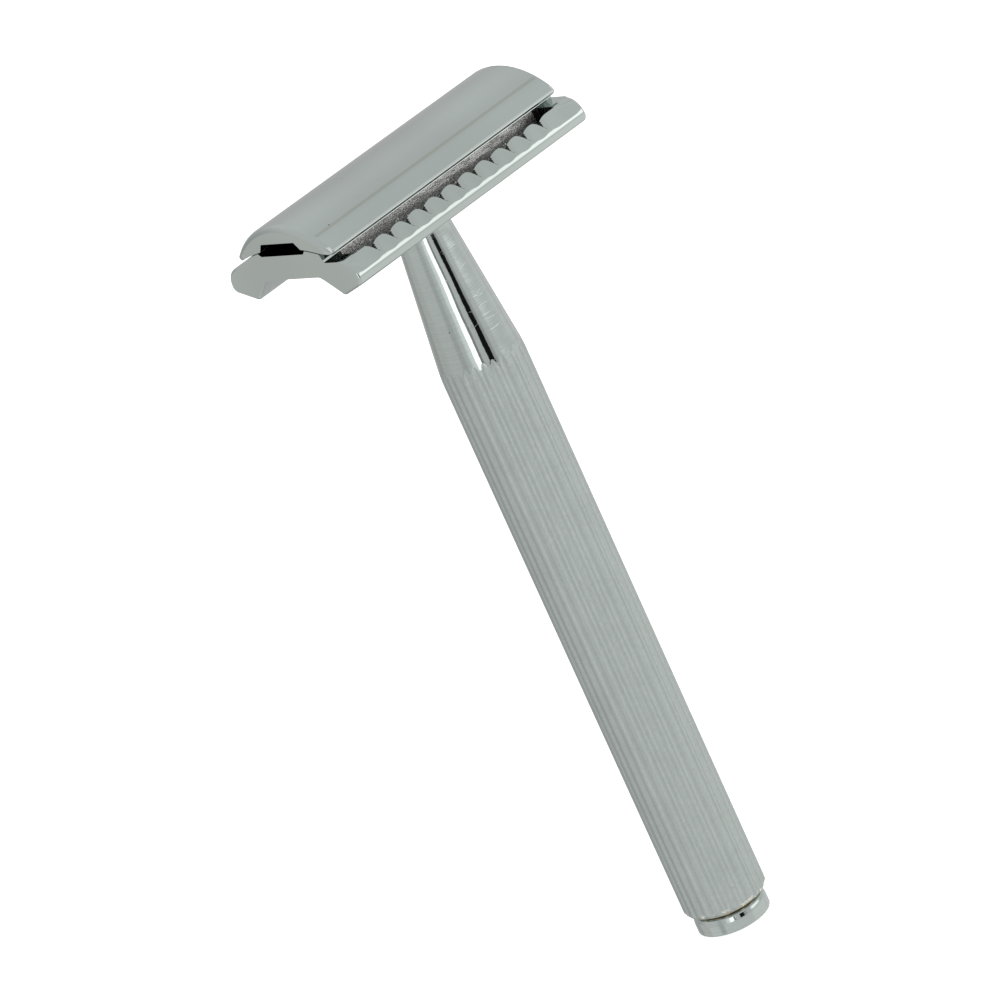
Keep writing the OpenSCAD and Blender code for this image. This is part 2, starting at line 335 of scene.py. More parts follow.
@dataclass
class Nodes:
    """A node tree with short ways to add and join nodes."""

    tree: bpy.types.NodeTree

    def add(self, kind: str, **values: object) -> bpy.types.Node:
        """Adds a node and sets its properties and inputs.

        Args:
            kind: the node's type, without ShaderNode.
            values: properties by name, or inputs by name with spaces as underscores.

        Returns:
            The node.
        """
        node = self.tree.nodes.new("ShaderNode" + kind)
        for name, value in values.items():
            if hasattr(node, name):
                setattr(node, name, value)
            else:
                self.feed(node, name.replace("_", " "), value)
        return node

    def feed(self, node: bpy.types.Node, name: str, value: object) -> None:
        """Sets one input, or joins it where the value is a socket.

        Args:
            node: the node.
            name: the input's name or its number.
            value: a plain value or another node's output.
        """
        socket = node.inputs[int(name)] if name.isdigit() else node.inputs[name]
        if isinstance(value, Socket):
            self.tree.links.new(value, socket)
        else:
            socket.default_value = value

    def maths(self, operation: str, *values: object, clamp: bool = False) -> Socket:
        """One arithmetic step on numbers or sockets.

        Args:
            operation: the Math node's operation.
            values: its operands.
            clamp: whether the result is kept between 0 and 1.

        Returns:
            The result's socket.
        """
        node = self.add("Math", operation=operation, use_clamp=clamp)
        for i, value in enumerate(values):
            self.feed(node, str(i), value)
        return node.outputs[0]

    def plus(self, first: object, second: object, clamp: bool = False) -> Socket:
        """The sum of two values, on request kept between 0 and 1."""
        return self.maths("ADD", first, second, clamp=clamp)

    def minus(self, first: object, second: object, clamp: bool = False) -> Socket:
        """The difference of two values, on request kept between 0 and 1."""
        return self.maths("SUBTRACT", first, second, clamp=clamp)

    def times(self, first: object, second: object) -> Socket:
        """The product of two values."""
        return self.maths("MULTIPLY", first, second)

    def away(self, value: object, middle: object) -> Socket:
        """The distance of a value from a middle one."""
        return self.maths("ABSOLUTE", self.minus(value, middle))

    def noise(self, place: object, scale: object, detail: float, roughness: float = 0.5) -> Socket:
        """Noise around 0.5, by its scale, the layers it has and the strength of the fine ones."""
        return self.add("TexNoise", Vector=place, Scale=scale, Detail=detail, Roughness=roughness).outputs[0]

    def stretch(self, place: object, scale: Point, turn: Point = (0, 0, 0)) -> Socket:
        """A place scaled by axis, which draws textures out along the axes with small numbers."""
        return self.add("Mapping", Vector=place, Scale=scale, Rotation=turn).outputs[0]

    def ramp(self, value: object, low: float, high: float, first: float = 0.0, last: float = 1.0) -> Socket:
        """Carries a value smoothly from one range to another.

        Args:
            value: the incoming number.
            low: where the range starts.
            high: where it ends.
            first: result at the start.
            last: result at the end.

        Returns:
            The result's socket.
        """
        ends = {"From_Min": low, "From_Max": high, "To_Min": first, "To_Max": last}
        return self.add("MapRange", interpolation_type="SMOOTHSTEP", Value=value, **ends).outputs["Result"]

    def mix(self, share: object, first: object, second: object) -> Socket:
        """Mixes two colours.

        Args:
            share: share of the second colour.
            first: the first colour.
            second: the second colour.

        Returns:
            The mixed colour's socket.
        """
        node = self.add("Mix", data_type="RGBA")
        for name, value in (("0", share), ("6", first), ("7", second)):
            self.feed(node, name, value)
        return node.outputs[2]


class Effect:
    """A shader node group that several finishes share, built once."""

    made: dict[str, bpy.types.NodeTree] = {}

    def __init__(self, name: str, inputs: dict[str, float], output: str) -> None:
        """Makes the group's sockets, for its subclass to fill.

        Args:
            name: the group's name.
            inputs: names and first values of its numbers.
            output: name of its result.
        """
        group = bpy.data.node_groups.new(name, "ShaderNodeTree")
        add = group.interface.new_socket
        add("Vector", in_out="INPUT", socket_type="NodeSocketVector")
        for label, value in inputs.items():
            add(label, in_out="INPUT", socket_type="NodeSocketFloat").default_value = value
        add(output, in_out="OUTPUT", socket_type="NodeSocketFloat")
        self.nodes = Nodes(group)
        self.source = group.nodes.new("NodeGroupInput").outputs
        self.sink = group.nodes.new("NodeGroupOutput")
        Effect.made[name] = group

    def send(self, value: Socket) -> None:
        """Joins the result to the group's output."""
        self.nodes.feed(self.sink, "0", value)

    @staticmethod
    def place(nodes: Nodes, name: str, **values: object) -> Socket:
        """Puts a shared effect in a material.

        Args:
            nodes: the material's tree.
            name: the effect's name.
            values: its inputs by name.

        Returns:
            The effect's result.
        """
        node = nodes.tree.nodes.new("ShaderNodeGroup")
        node.node_tree = Effect.made[name]
        for label, value in values.items():
            nodes.feed(node, label, value)
        return node.outputs[0]


class Specks(Effect):
    """Sparse small pits or grains, as a mask."""

    NAME = "specks"

    def __init__(self) -> None:
        """Builds the group from cell noise: few cells are kept, and each gets one dot."""
        super().__init__(self.NAME, {"Scale": 1000.0, "Size": 0.2, "Share": 0.1}, "Mask")
        n, source = self.nodes, self.source
        cells = n.add("TexVoronoi", feature="F1", Vector=source["Vector"], Scale=source["Scale"])
        dot = n.maths("LESS_THAN", cells.outputs["Distance"], source["Size"])
        chance = n.add("SeparateColor", Color=cells.outputs["Color"]).outputs[0]
        self.send(n.times(dot, n.maths("LESS_THAN", chance, source["Share"])))


class Scratches(Effect):
    """Fine broken scratches in one direction, as a mask."""

    NAME = "scratches"
    BREAK_SCALE = 0.37

    def __init__(self) -> None:
        """Builds the group from stretched noise whose narrow middle band is kept."""
        super().__init__(self.NAME, {"Scale": 500.0, "Width": 0.02, "Breaks": 0.55}, "Mask")
        n, source = self.nodes, self.source
        middle = n.away(n.noise(source["Vector"], source["Scale"], 2.0), 0.5)
        thin = n.minus(1.0, n.maths("DIVIDE", middle, source["Width"]), clamp=True)
        breaks = n.noise(source["Vector"], n.times(source["Scale"], self.BREAK_SCALE), 1.0)
        self.send(n.times(thin, n.maths("GREATER_THAN", breaks, source["Breaks"])))


class Waviness(Effect):
    """Slow unevenness of a polished casting, as a height."""

    NAME = "waviness"
    FINE_SCALE = 9.0

    def __init__(self) -> None:
        """Builds the group from two layers of noise."""
        super().__init__(self.NAME, {"Scale": 120.0, "Fine": 0.2}, "Height")
        n, source = self.nodes, self.source
        slow = n.noise(source["Vector"], source["Scale"], 1.0, roughness=0.4)
        quick = n.noise(source["Vector"], n.times(source["Scale"], self.FINE_SCALE), 2.0)
        self.send(n.plus(slow, n.times(quick, source["Fine"])))


# ---- Finishes ----


@dataclass(frozen=True)
class Finish:
    """A metal finish: its two colours, its roughness and how deep its bumps are."""

    name: str
    colour: Colour
    stain: Colour
    roughness: float
    spread: float
    bump: float
    depth: float

    def begin(self) -> tuple[Material, Nodes, bpy.types.Node, Socket]:
        """Makes the material with its metal shader.

        Returns:
            The material, its tree, the shader and the object coordinates.
        """
        material = bpy.data.materials.new(self.name)
        material.use_nodes = True
        nodes = Nodes(material.node_tree)
        nodes.tree.nodes.clear()
        shader = nodes.add("BsdfPrincipled", Metallic=1.0)
        nodes.add("OutputMaterial", Surface=shader.outputs[0])
        return material, nodes, shader, nodes.add("TexCoord").outputs["Object"]

    def finish(
        self, nodes: Nodes, shader: bpy.types.Node, stain: object, rough: object, height: object
    ) -> None:
        """Joins the masks to the shader.

        Args:
            nodes: the material's tree.
            shader: its metal shader.
            stain: share of the second colour.
            rough: share of the roughness' spread, from 0 to 1.
            height: height of the surface, about 0 to 1.
        """
        low, high = self.roughness - self.spread, self.roughness + self.spread
        bump = nodes.add("Bump", Strength=self.bump, Distance=self.depth * MM, Height=height)
        nodes.feed(shader, "Base Color", nodes.mix(stain, (*self.colour, 1), (*self.stain, 1)))
        nodes.feed(shader, "Roughness", nodes.ramp(rough, 0.0, 1.0, low, high))
        nodes.feed(shader, "Normal", bump.outputs[0])

    @staticmethod
    def lay_over(nodes: Nodes, shader: bpy.types.Node, share: object, colour: Colour) -> None:
        """Lays a colour over the shader's own.

        Args:
            nodes: the material's tree.
            shader: its metal shader, already finished.
            share: share of the new colour.
            colour: the new colour.
        """
        plain = shader.inputs["Base Color"].links[0].from_socket
        nodes.feed(shader, "Base Color", nodes.mix(share, plain, (*colour, 1)))


@dataclass(frozen=True)
class Chrome(Finish):
    """Bright plated metal: slow waves, fine wipe marks, a few specks and, where asked, tool rings."""

    wave: float = 120.0
    rings: float = 0.0

    def make(self) -> Material:
        """Builds the material.

        Returns:
            The material.
        """
        material, n, shader, place = self.begin()
        wave = Effect.place(n, Waviness.NAME, Vector=place, Scale=self.wave, Fine=0.05)
        wiped = n.stretch(place, (0.12, 1.0, 1.0), (0.2, 0.5, 0.3))
        marks = Effect.place(n, Scratches.NAME, Vector=wiped, Scale=900.0, Width=0.012, Breaks=0.58)
        specks = Effect.place(n, Specks.NAME, Vector=place, Scale=700.0, Size=0.1, Share=0.05)
        cloud = n.ramp(n.noise(place, 160.0, 3.0), 0.35, 0.65, 0.0, 0.7)
        rough = n.plus(cloud, n.times(marks, 0.6), clamp=True)
        slow = n.ramp(n.noise(place, 45.0, 1.0), 0.35, 0.65, 0.0, 0.13)
        stain = n.plus(n.times(specks, 0.75), slow, clamp=True)
        height = n.minus(wave, n.times(marks, 0.05))
        if self.rings:
            turning = n.noise(n.stretch(place, (0.05, 0.05, 1.0)), 5200.0, 2.0)
            height = n.plus(height, n.times(turning, self.rings))
            stain = n.plus(stain, n.ramp(turning, 0.42, 0.62, 0.0, self.rings), clamp=True)
        self.finish(n, shader, stain, rough, height)
        return material


@dataclass(frozen=True)
class Satin(Finish):
    """Satin plated metal: a fine cross grain round the handle, pits, scratches and a worn rim with painted
    glints.
    """

    # worn plating at the bottom rim, in a near-white that also paints glints there
    worn_from: float = 3.1
    worn_to: float = 3.75
    rubbed: Colour = (0.9, 0.86, 0.72)

    def make(self) -> Material:
        """Builds the material.

        Returns:
            The material.
        """
        material, n, shader, place = self.begin()
        around = n.stretch(place, (0.15, 0.15, 1.0))
        grain = n.noise(around, 9000.0, 3.0, roughness=0.6)
        cross = n.noise(n.stretch(place, (1.0, 1.0, 0.25)), 7000.0, 2.0, roughness=0.6)
        marks = Effect.place(n, Scratches.NAME, Vector=around, Scale=700.0, Width=0.008, Breaks=0.6)
        pits = Effect.place(n, Specks.NAME, Vector=place, Scale=1500.0, Size=0.13, Share=0.035)
        cloud = n.noise(place, 220.0, 4.0)
        texture = n.plus(n.times(grain, 0.6), n.times(cross, 0.4))
        tone = n.ramp(n.plus(n.times(texture, 0.7), n.times(cloud, 0.3)), 0.36, 0.64, 0.0, 0.34)
        stain = n.plus(tone, n.times(pits, 0.5), clamp=True)
        height = n.minus(texture, n.plus(n.times(pits, 0.8), n.times(marks, 0.4)))
        self.finish(n, shader, stain, n.ramp(texture, 0.3, 0.7), height)
        # worn rim: real wear, coloured near-white as painted glints
        z = n.add("SeparateXYZ", Vector=place).outputs[2]
        rim = n.ramp(z, self.worn_from * MM, self.worn_to * MM, 1.0, 0.0)
        worn = n.times(rim, n.ramp(n.noise(place, 1100.0, 3.0), 0.52, 0.6))
        self.lay_over(n, shader, worn, self.rubbed)
        return material


@dataclass(frozen=True)
class Cast(Finish):
    """As-cast plated metal in the hollows: sharp grains, and painted highlight streaks and glints along a
    gutter's wall.
    """

    # the painted glints: near-white streaks and specks on the gutter's wall, and where they lie
    streaked: bool = True
    grain: float = 5200.0
    streak_z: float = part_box("base_plate")[1].z / MM - 1.9
    streak_half: Flat = (0.3, 0.85)
    streak_start: Flat = (-9.0, 5.0)
    streak_end: Flat = (12.0, 16.0)
    bright: Colour = (0.95, 0.95, 0.93)

    def make(self) -> Material:
        """Builds the material.

        Returns:
            The material.
        """
        material, n, shader, place = self.begin()
        cells = n.add("TexVoronoi", feature="F1", Vector=place, Scale=self.grain).outputs["Distance"]
        fine = n.noise(place, self.grain * 0.6, 3.0, roughness=0.7)
        self.finish(n, shader, n.ramp(fine, 0.35, 0.65), fine, n.plus(cells, n.times(fine, 0.8)))
        # painted highlight: white streaks and glint specks laid over the colour, with the metal lowered
        # there
        if self.streaked:
            glint_specks = Effect.place(n, Specks.NAME, Vector=place, Scale=2600.0, Size=0.34, Share=0.13)
            glint_mask = n.plus(self.streaks(n, place), glint_specks, clamp=True)
            self.lay_over(n, shader, glint_mask, self.bright)
            n.feed(shader, "Metallic", n.minus(1.0, n.times(glint_mask, 0.75)))
        return material

    def streaks(self, n: Nodes, place: Socket) -> Socket:
        """Painted highlight streaks along the gutter's wall, strongest from the middle to the right.

        Args:
            n: the material's tree.
            place: the object coordinates.

        Returns:
            The mask.
        """
        x, _y, z = n.add("SeparateXYZ", Vector=place).outputs
        runs = n.ramp(n.noise(n.stretch(place, (0.16, 1.0, 1.0)), 2300.0, 3.0, roughness=0.65), 0.46, 0.56)
        start = n.ramp(x, *(edge * MM for edge in self.streak_start))
        end = n.ramp(x, *(edge * MM for edge in self.streak_end), 1.0, 0.0)
        across = n.ramp(n.away(z, self.streak_z * MM), *(edge * MM for edge in self.streak_half), 1.0, 0.0)
        return n.times(runs, n.times(n.times(start, end), across))


@dataclass(frozen=True)
class Turned(Finish):
    """Turned metal: fine tool rings round the handle's axis, with worn spots."""

    rings: float = 9000.0

    def make(self) -> Material:
        """Builds the material.

        Returns:
            The material.
        """
        material, n, shader, place = self.begin()
        rings = n.noise(n.stretch(place, (0.06, 0.06, 1.0)), self.rings, 2.0)
        cloud = n.noise(place, 900.0, 4.0)
        worn = Effect.place(n, Specks.NAME, Vector=place, Scale=1300.0, Size=0.3, Share=0.16)
        stain = n.plus(n.ramp(cloud, 0.4, 0.62, 0.0, 0.6), worn, clamp=True)
        self.finish(n, shader, stain, n.ramp(cloud, 0.35, 0.65), rings)
        return material


class Workshop:
    """All the finishes, made once."""

    def __init__(self) -> None:
        """Builds the shared effects and then the finishes."""
        for effect in (Specks, Scratches, Waviness):
            effect()
        self.chrome = Chrome(
            "polished_chrome", (0.475, 0.525, 0.51), (0.17, 0.175, 0.165),
            roughness=0.045, spread=0.02, bump=0.25, depth=0.02).make()
        self.neck = Chrome(
            "polished_neck", (0.49, 0.54, 0.525), (0.17, 0.185, 0.18),
            roughness=0.06, spread=0.02, bump=0.6, depth=0.09, wave=240.0, rings=0.07).make()
        # painted highlight: a much lighter, rougher chrome for the cap's long rims
        self.rim = Chrome(
            "rim_painted_highlight", (0.76, 0.785, 0.77), (0.5, 0.52, 0.51),
            roughness=0.24, spread=0.03, bump=0.2, depth=0.02).make()
        self.satin = Satin(
            "satin_chrome", (0.47, 0.515, 0.502), (0.34, 0.375, 0.362),
            roughness=0.44, spread=0.06, bump=0.35, depth=0.006).make()
        self.cast = Cast(
            "cast_hollow", (0.5, 0.495, 0.485), (0.25, 0.247, 0.24),
            roughness=0.42, spread=0.1, bump=0.7, depth=0.03).make()
        # painted shade: a near-black finish laid in the notch bottoms and the gutter's end pockets
        self.grime = Cast(
            "painted_shade_corner", (0.06, 0.06, 0.058), (0.018, 0.018, 0.018),
            roughness=0.5, spread=0.1, bump=0.5, depth=0.02, streaked=False).make()
        self.brass = Turned(
            "worn_brass", (0.52, 0.41, 0.24), (0.17, 0.13, 0.08),
            roughness=0.25, spread=0.1, bump=0.3, depth=0.01).make()
        self.steel = Turned(
            "turned_steel", (0.5, 0.5, 0.5), (0.28, 0.28, 0.29),
            roughness=0.24, spread=0.08, bump=0.3, depth=0.01).make()


# ---- Head ----


@dataclass
class HeadLevels:
    """Heights and places in the head, in millimetres; all but the pins' radius come from the CAD frame."""

    bed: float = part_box("neck_ferrule")[1].z / MM
    neck_top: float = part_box("handle_tube")[1].z / MM
    half_len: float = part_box("base_plate")[1].x / MM
    pin_low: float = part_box("cap_pins")[0].z / MM
    pin_r: float = 1.0
    pin_at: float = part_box("cap_pins")[1].x / MM - pin_r

    def pin_drums(self, radius: float, low: float, high: float) -> list[Piece]:
        """Two cutters at the places of the locating pins."""
        return [drum(radius, low, high, (side * self.pin_at, 0), 48) for side in (-1, 1)]


@dataclass
class Cap:
    """The curved top half with its locating pins. Its stud keeps the CAD shape."""

    levels: HeadLevels
    crown_r: float = 12.0
    crown: float = 3.8
    end_r: float = 0.8
    end_steps: int = 8
    crown_steps: int = 36
    rim_steps: int = 14
    pad_r: float = 25.0
    pad_crown: float = 0.9
    rim_r: float = 0.35
    recess: Flat = (3.75, 3.05)
    recess_h: float = 1.6
    post_r: float = 3.1
    post_root: float = 0.4
    bevel: float = 0.06
    bevel_turn: float = 50.0
    gap: float = 0.12
    stud_r: float = 1.622
    hole_top: float = 2.6
    # rises of the rim faces' normals that get the painted highlight
    buffed: Flat = (-0.85, 0.69)
    sideways: float = 0.6

    def section(self, crown_r: float) -> list[Flat]:
        """Half section from the top of the crown round the rim to the middle of the recess.

        Args:
            crown_r: radius of the crown in this section, smaller towards the ends.

        Returns:
            Points of width and height above the bed.
        """
        low, pad = self.crown - self.crown_r, self.pad_crown - self.pad_r
        far, near = self.pad_r + self.rim_r, crown_r - self.rim_r
        rim_z = (far**2 - near**2 - pad**2 + low**2) / (2 * (low - pad))
        rim_y = math.sqrt(near**2 - (rim_z - low) ** 2)
        top_turn = math.degrees(math.atan2(rim_z - low, rim_y))
        pad_turn = math.degrees(math.atan2(rim_z - pad, rim_y))
        crown = arc((0, low), crown_r, 90, top_turn, self.crown_steps)
        rim = arc((rim_y, rim_z), self.rim_r, top_turn, pad_turn - 180, self.rim_steps)[1:]
        last = math.degrees(math.acos(self.recess[0] / self.pad_r))
        pad_line = arc((0, pad), self.pad_r, pad_turn, last, self.rim_steps)[1:]
        roof = [(self.recess[1], self.recess_h), (self.recess[1] / 2, self.recess_h), (0, self.recess_h)]
        return crown + rim + pad_line + roof

    def stations(self) -> list[Flat]:
        """Lays out the sections, close together where the end is rounded.

        Returns:
            Places along the head with the crown's radius there.
        """
        inner = self.levels.half_len - self.end_r
        rows = [(inner * i / 6, self.crown_r) for i in range(6)]
        for i in range(self.end_steps + 1):
            turn = math.pi / 2 * i / self.end_steps
            drop = self.end_r * (1 - math.cos(turn))
            rows.append((inner + self.end_r * math.sin(turn), self.crown_r - drop))
        return rows

    def build(self) -> Piece:
        """Lofts a quarter, mirrors it, closes the ends, adds the post and bores it.

        Returns:
            The cap.
        """
        bench = Bench("cap_shell")
        bed = self.levels.bed
        bench.loft([[(x, y, bed + z) for y, z in self.section(r)] for x, r in self.stations()])
        bench.clean()
        piece = bench.leave()
        apply_modifier(piece, "MIRROR", use_axis=(True, True, False), merge_threshold=SEAM_DISTANCE)
        tidy_shell(piece)
        cut_away(piece, [drum(self.post_r, bed + self.gap, bed + self.recess_h + self.post_root)], "UNION")
        top = bed + self.hole_top
        cut_away(piece, [drum(self.stud_r, bed, top)] + self.levels.pin_drums(self.levels.pin_r, bed, top))
        apply_modifier(
            piece, "BEVEL", width=self.bevel * MM, segments=2, limit_method="ANGLE",
            angle_limit=math.radians(self.bevel_turn))
        smooth(piece, 40)
        return piece

    def pins(self) -> Piece:
        """Turns one bevelled pin and copies it to the other side.

        Returns:
            Both pins as one piece.
        """
        low, high, r = self.levels.pin_low, self.levels.bed + self.hole_top, self.levels.pin_r
        bevel, edge = 0.3, 0.06
        outline = [
            (0, low), (r - bevel - edge, low), (r - bevel, low + edge / 2),
            (r - edge / 2, low + bevel - edge / 2), (r, low + bevel), (r, high), (0, high)]
        piece = turned("locating_pins", outline, 64)
        bpy.ops.object.mode_set(mode="EDIT")
        bpy.ops.mesh.select_all(action="SELECT")
        reach = self.levels.pin_at * MM
        bpy.ops.transform.translate(value=(reach, 0, 0))
        bpy.ops.mesh.duplicate_move(TRANSFORM_OT_translate={"value": (-2 * reach, 0, 0)})
        bpy.ops.object.mode_set(mode="OBJECT")
        smooth(piece, 35)
        return piece

    def is_buffed(self, face: bpy.types.MeshPolygon) -> bool:
        """Tells whether a face of the cap lies on one of its long rims, which get a painted highlight.

        Args:
            face: the face.

        Returns:
            Whether it does.
        """
        low, high = self.buffed
        outside = abs(face.center.y / MM) > self.recess[0] and face.center.z / MM > self.levels.bed
        return outside and abs(face.normal.y) > self.sideways and low < face.normal.z < high

    def dress(self, shop: Workshop) -> None:
        """Builds the cap's pieces; the long rims get a lighter, rougher chrome than the rest, a painted
        highlight.

        Args:
            shop: the finishes.
        """
        cap, pins = self.build(), self.pins()
        for piece, metal in ((cap, shop.chrome), (cap, shop.rim), (pins, shop.chrome)):
            piece.data.materials.append(metal)
        # the rim faces get the lighter chrome, a painted highlight
        for face in cap.data.polygons:
            face.material_index = int(self.is_buffed(face))
        seat(cap, Body.CAP, "cap")
        seat(pins, Body.CAP, "cap_pins")


class PlateFinish(IntEnum):
    """The plate's finishes, in the order of its materials; the last one is painted shade."""

    POLISHED = 0
    CAST = 1
    GRIMY = 2


@dataclass
class BasePlate:
    """The lower half of the head: bed, ledges, gutters and scalloped bars."""

    levels: HeadLevels
    plate_t: float = 3.15
    boss_h: float = 1.75
    boss_r: float = 4.1
    boss_root: float = 0.3
    bed_half: float = 3.9
    bed_wall: float = 0.45
    bed_crown: float = 0.78
    pad_r: float = 25.0
    ledge_half: float = 6.6
    land: float = -1.3
    bar_r: float = 2.45
    bar_c: Flat = (9.55, -3.75)
    toe: Flat = (11.05, -3.75)
    toe_r: float = 0.95
    heel: Flat = (8.15, -5.0)
    heel_r: float = 0.7
    under_half: float = 4.75
    gutter_in: float = 7.15
    gutter_out: float = 9.6
    gutter_floor: float = -3.0
    gutter_ends: Flat = (-18.3, 17.6)
    pitch: float = 3.0
    notches: int = 11
    row_shift: float = -0.4
    notch_in: Flat = (10.1, -2.1)
    notch_out: Flat = (11.83, -2.85)
    petal_shape: float = 2.2
    lip_turn: float = 16.0
    facet_ends: Flat = (68.5, 76.0)
    bar_turn: float = 92.0
    # reach and length of the painted shade in each notch, and length of the painted-shade pocket at each
    # gutter end
    grime: float = 0.38
    grime_len: float = 0.75
    pocket: float = 0.9
    end_round: float = 0.35
    hole_r: float = 2.6
    flange: Flat = (3.4, 0.6)
    pin_hole_r: float = 1.1

    def notch_depth(self, turn: float) -> float:
        """Depth of a notch below the bar's round, along the round's normal.

        Args:
            turn: angle of the place on the round, from straight up, in degrees.

        Returns:
            The depth in millimetres, never below zero.
        """
        s, c = math.sin(math.radians(turn)), math.cos(math.radians(turn))
        slope = (self.notch_out[1] - self.notch_in[1]) / (self.notch_out[0] - self.notch_in[0])
        y, z = self.bar_c[0] + self.bar_r * s, self.bar_c[1] + self.bar_r * c
        line = self.notch_in[1] + slope * (y - self.notch_in[0])
        return max(0.0, (z - line) / (c - slope * s))

    def facet_depth(self, turn: float, end: float) -> float:
        """Depth of a petal's flat face below the bar's round, along the round's normal.

        Args:
            turn: angle of the place on the round, from straight up, in degrees.
            end: angle at which the flat face ends.

        Returns:
            The depth in millimetres, never below zero.
        """
        if turn >= end:
            return 0.0
        half = math.radians(end - self.lip_turn) / 2
        off = math.radians(turn - (end + self.lip_turn) / 2)
        return self.bar_r * max(0.0, 1 - math.cos(half) / math.cos(off))

    def section(self, aside: float, cut: bool, flat: float, inset: float = 0.0) -> list[Flat]:
        """Half section at a station, from the middle of the bed out and back below.

        Args:
            aside: distance from the nearest notch as a share of half a pitch, 1 in a petal's middle.
            cut: whether the gutter is there.
            flat: share of the petals' flat face that is left, 0 where the bar is round.
            inset: how far the bar's outside is drawn in, at its rounded ends.

        Returns:
            Points of width and height above the bed.
        """
        pad, floor = self.bed_crown - self.pad_r, self.gutter_floor
        near, far = self.bed_half + self.bed_wall, self.ledge_half
        steps = [near + (far - near) * i / 10 for i in range(11)]
        ledge = [(y, pad + math.sqrt(self.pad_r**2 - y * y)) for y in steps]
        bed = [(0, 0), (self.bed_half / 2, 0), (self.bed_half, 0), (near - 0.08, ledge[0][1] - 0.05)]
        step = [(far + 0.12, ledge[-1][1] - 0.1)]
        bar = self.bar_line(aside, flat, inset)
        (lip_y, lip_z), inner, outer = bar[0], self.gutter_in, self.gutter_out
        if cut:
            hollow = [
                (inner - 0.15, self.land + 0.12), (inner, floor + 0.15), (inner + 0.15, floor),
                (outer - 0.15, floor), (outer, floor + 0.15), (lip_y - 0.16, lip_z - 0.16),
                (lip_y - 0.06, lip_z - 0.03)]
        else:
            hollow = [
                (inner - 0.12, self.land + 0.1), (inner + 0.05, self.land + 0.02), (inner + 0.3, self.land),
                (outer - 1.0, self.land), (outer - 0.5, self.land), (outer, self.land),
                (lip_y - 0.1, lip_z + 0.02)]
        toe = arc(self.toe, self.toe_r - inset, -12, -70, 8)
        heel = arc(self.heel, self.heel_r - inset, -70, -145, 10)
        half, low = self.under_half, -self.plate_t
        under = [(half + 0.75, low - 0.35), (half + 0.3, low - 0.08), (half, low), (half / 2, low), (0, low)]
        return bed + ledge + step + hollow + bar + toe + heel + under

    def bar_line(self, aside: float, flat: float, inset: float) -> list[Flat]:
        """The bar's part of the section, from its lip over the top to the toe.

        Args:
            aside: distance from the nearest notch as a share of half a pitch.
            flat: share of the petals' flat face that is left.
            inset: how far the line is drawn in.

        Returns:
            Points of width and height above the bed.
        """
        share = (1 - aside) ** self.petal_shape
        first, last = self.facet_ends
        end = first + (last - first) * math.sin(aside * math.pi / 2)
        turns = [self.lip_turn + (end - self.lip_turn) * (i / 20) for i in range(21)]
        turns += [end + 0.3] + [end + (self.bar_turn - end) * (i / 8) for i in range(1, 9)]
        line = []
        for turn in turns:
            depth = inset
            if turn <= end:
                depth += max(share * self.notch_depth(turn), flat * self.facet_depth(turn, end))
            s, c = math.sin(math.radians(turn)), math.cos(math.radians(turn))
            line.append((self.bar_c[0] + (self.bar_r - depth) * s, self.bar_c[1] + (self.bar_r - depth) * c))
        return line

    def strip(self, name: str, stations: Sequence[tuple[float, ...]]) -> Piece:
        """Lofts a length of the plate's half section.

        Args:
            name: the strip's name.
            stations: place along the head and the section's values there.

        Returns:
            The strip.
        """
        bench, bed = Bench(name), self.levels.bed
        bench.loft([[(x, y, bed + z) for y, z in self.section(*values)] for x, *values in stations])
        bench.clean()
        return bench.leave()

    def petal_row(self) -> Piece:
        """Models the length round one notch and repeats it along the bar.

        Returns:
            The row.
        """
        shares = [0, 0.02, 0.06, 0.12, 0.2, 0.3, 0.42, 0.55, 0.7, 0.85, 1.0]
        half = self.pitch / 2
        first = self.row_shift - half * (self.notches - 1)
        sides = [-f for f in reversed(shares[1:])] + shares
        piece = self.strip("petals", [(first + half * f, abs(f), True, 1.0) for f in sides])
        apply_modifier(
            piece, "ARRAY", count=self.notches, use_relative_offset=False, use_constant_offset=True,
            constant_offset_displace=(self.pitch * MM, 0, 0), use_merge_vertices=True,
            merge_threshold=SEAM_DISTANCE)
        return piece

    def end_strip(self, side: int) -> Piece:
        """Models one end: the last plain length of gutter, its end wall and the land beyond.

        Args:
            side: -1 for the left end, 1 for the right one.

        Returns:
            The end.
        """
        reach = self.row_shift + side * self.pitch * self.notches / 2
        wall = self.gutter_ends[side > 0]
        end = side * self.levels.half_len
        inner = end - side * self.end_round
        stations = [(x, 1.0, True, 1.0) for x in (reach, (reach + wall) / 2)]
        stations += [(wall, 1.0, True, 0.94), (wall + side * 0.12, 1.0, False, 0.92)]
        fading = ((0.15, 0.8), (0.3, 0.58), (0.45, 0.34), (0.6, 0.14), (0.75, 0.03), (0.88, 0.0), (1.0, 0.0))
        stations += [(wall + (inner - wall) * f, 1.0, False, flat) for f, flat in fading]
        for bow in map(math.radians, (25, 45, 62, 77, 90)):
            x, inset = inner + side * self.end_round * math.sin(bow), self.end_round * (1 - math.cos(bow))
            stations.append((x, 1.0, False, 0.0, inset))
        return self.strip("plate_end", stations)

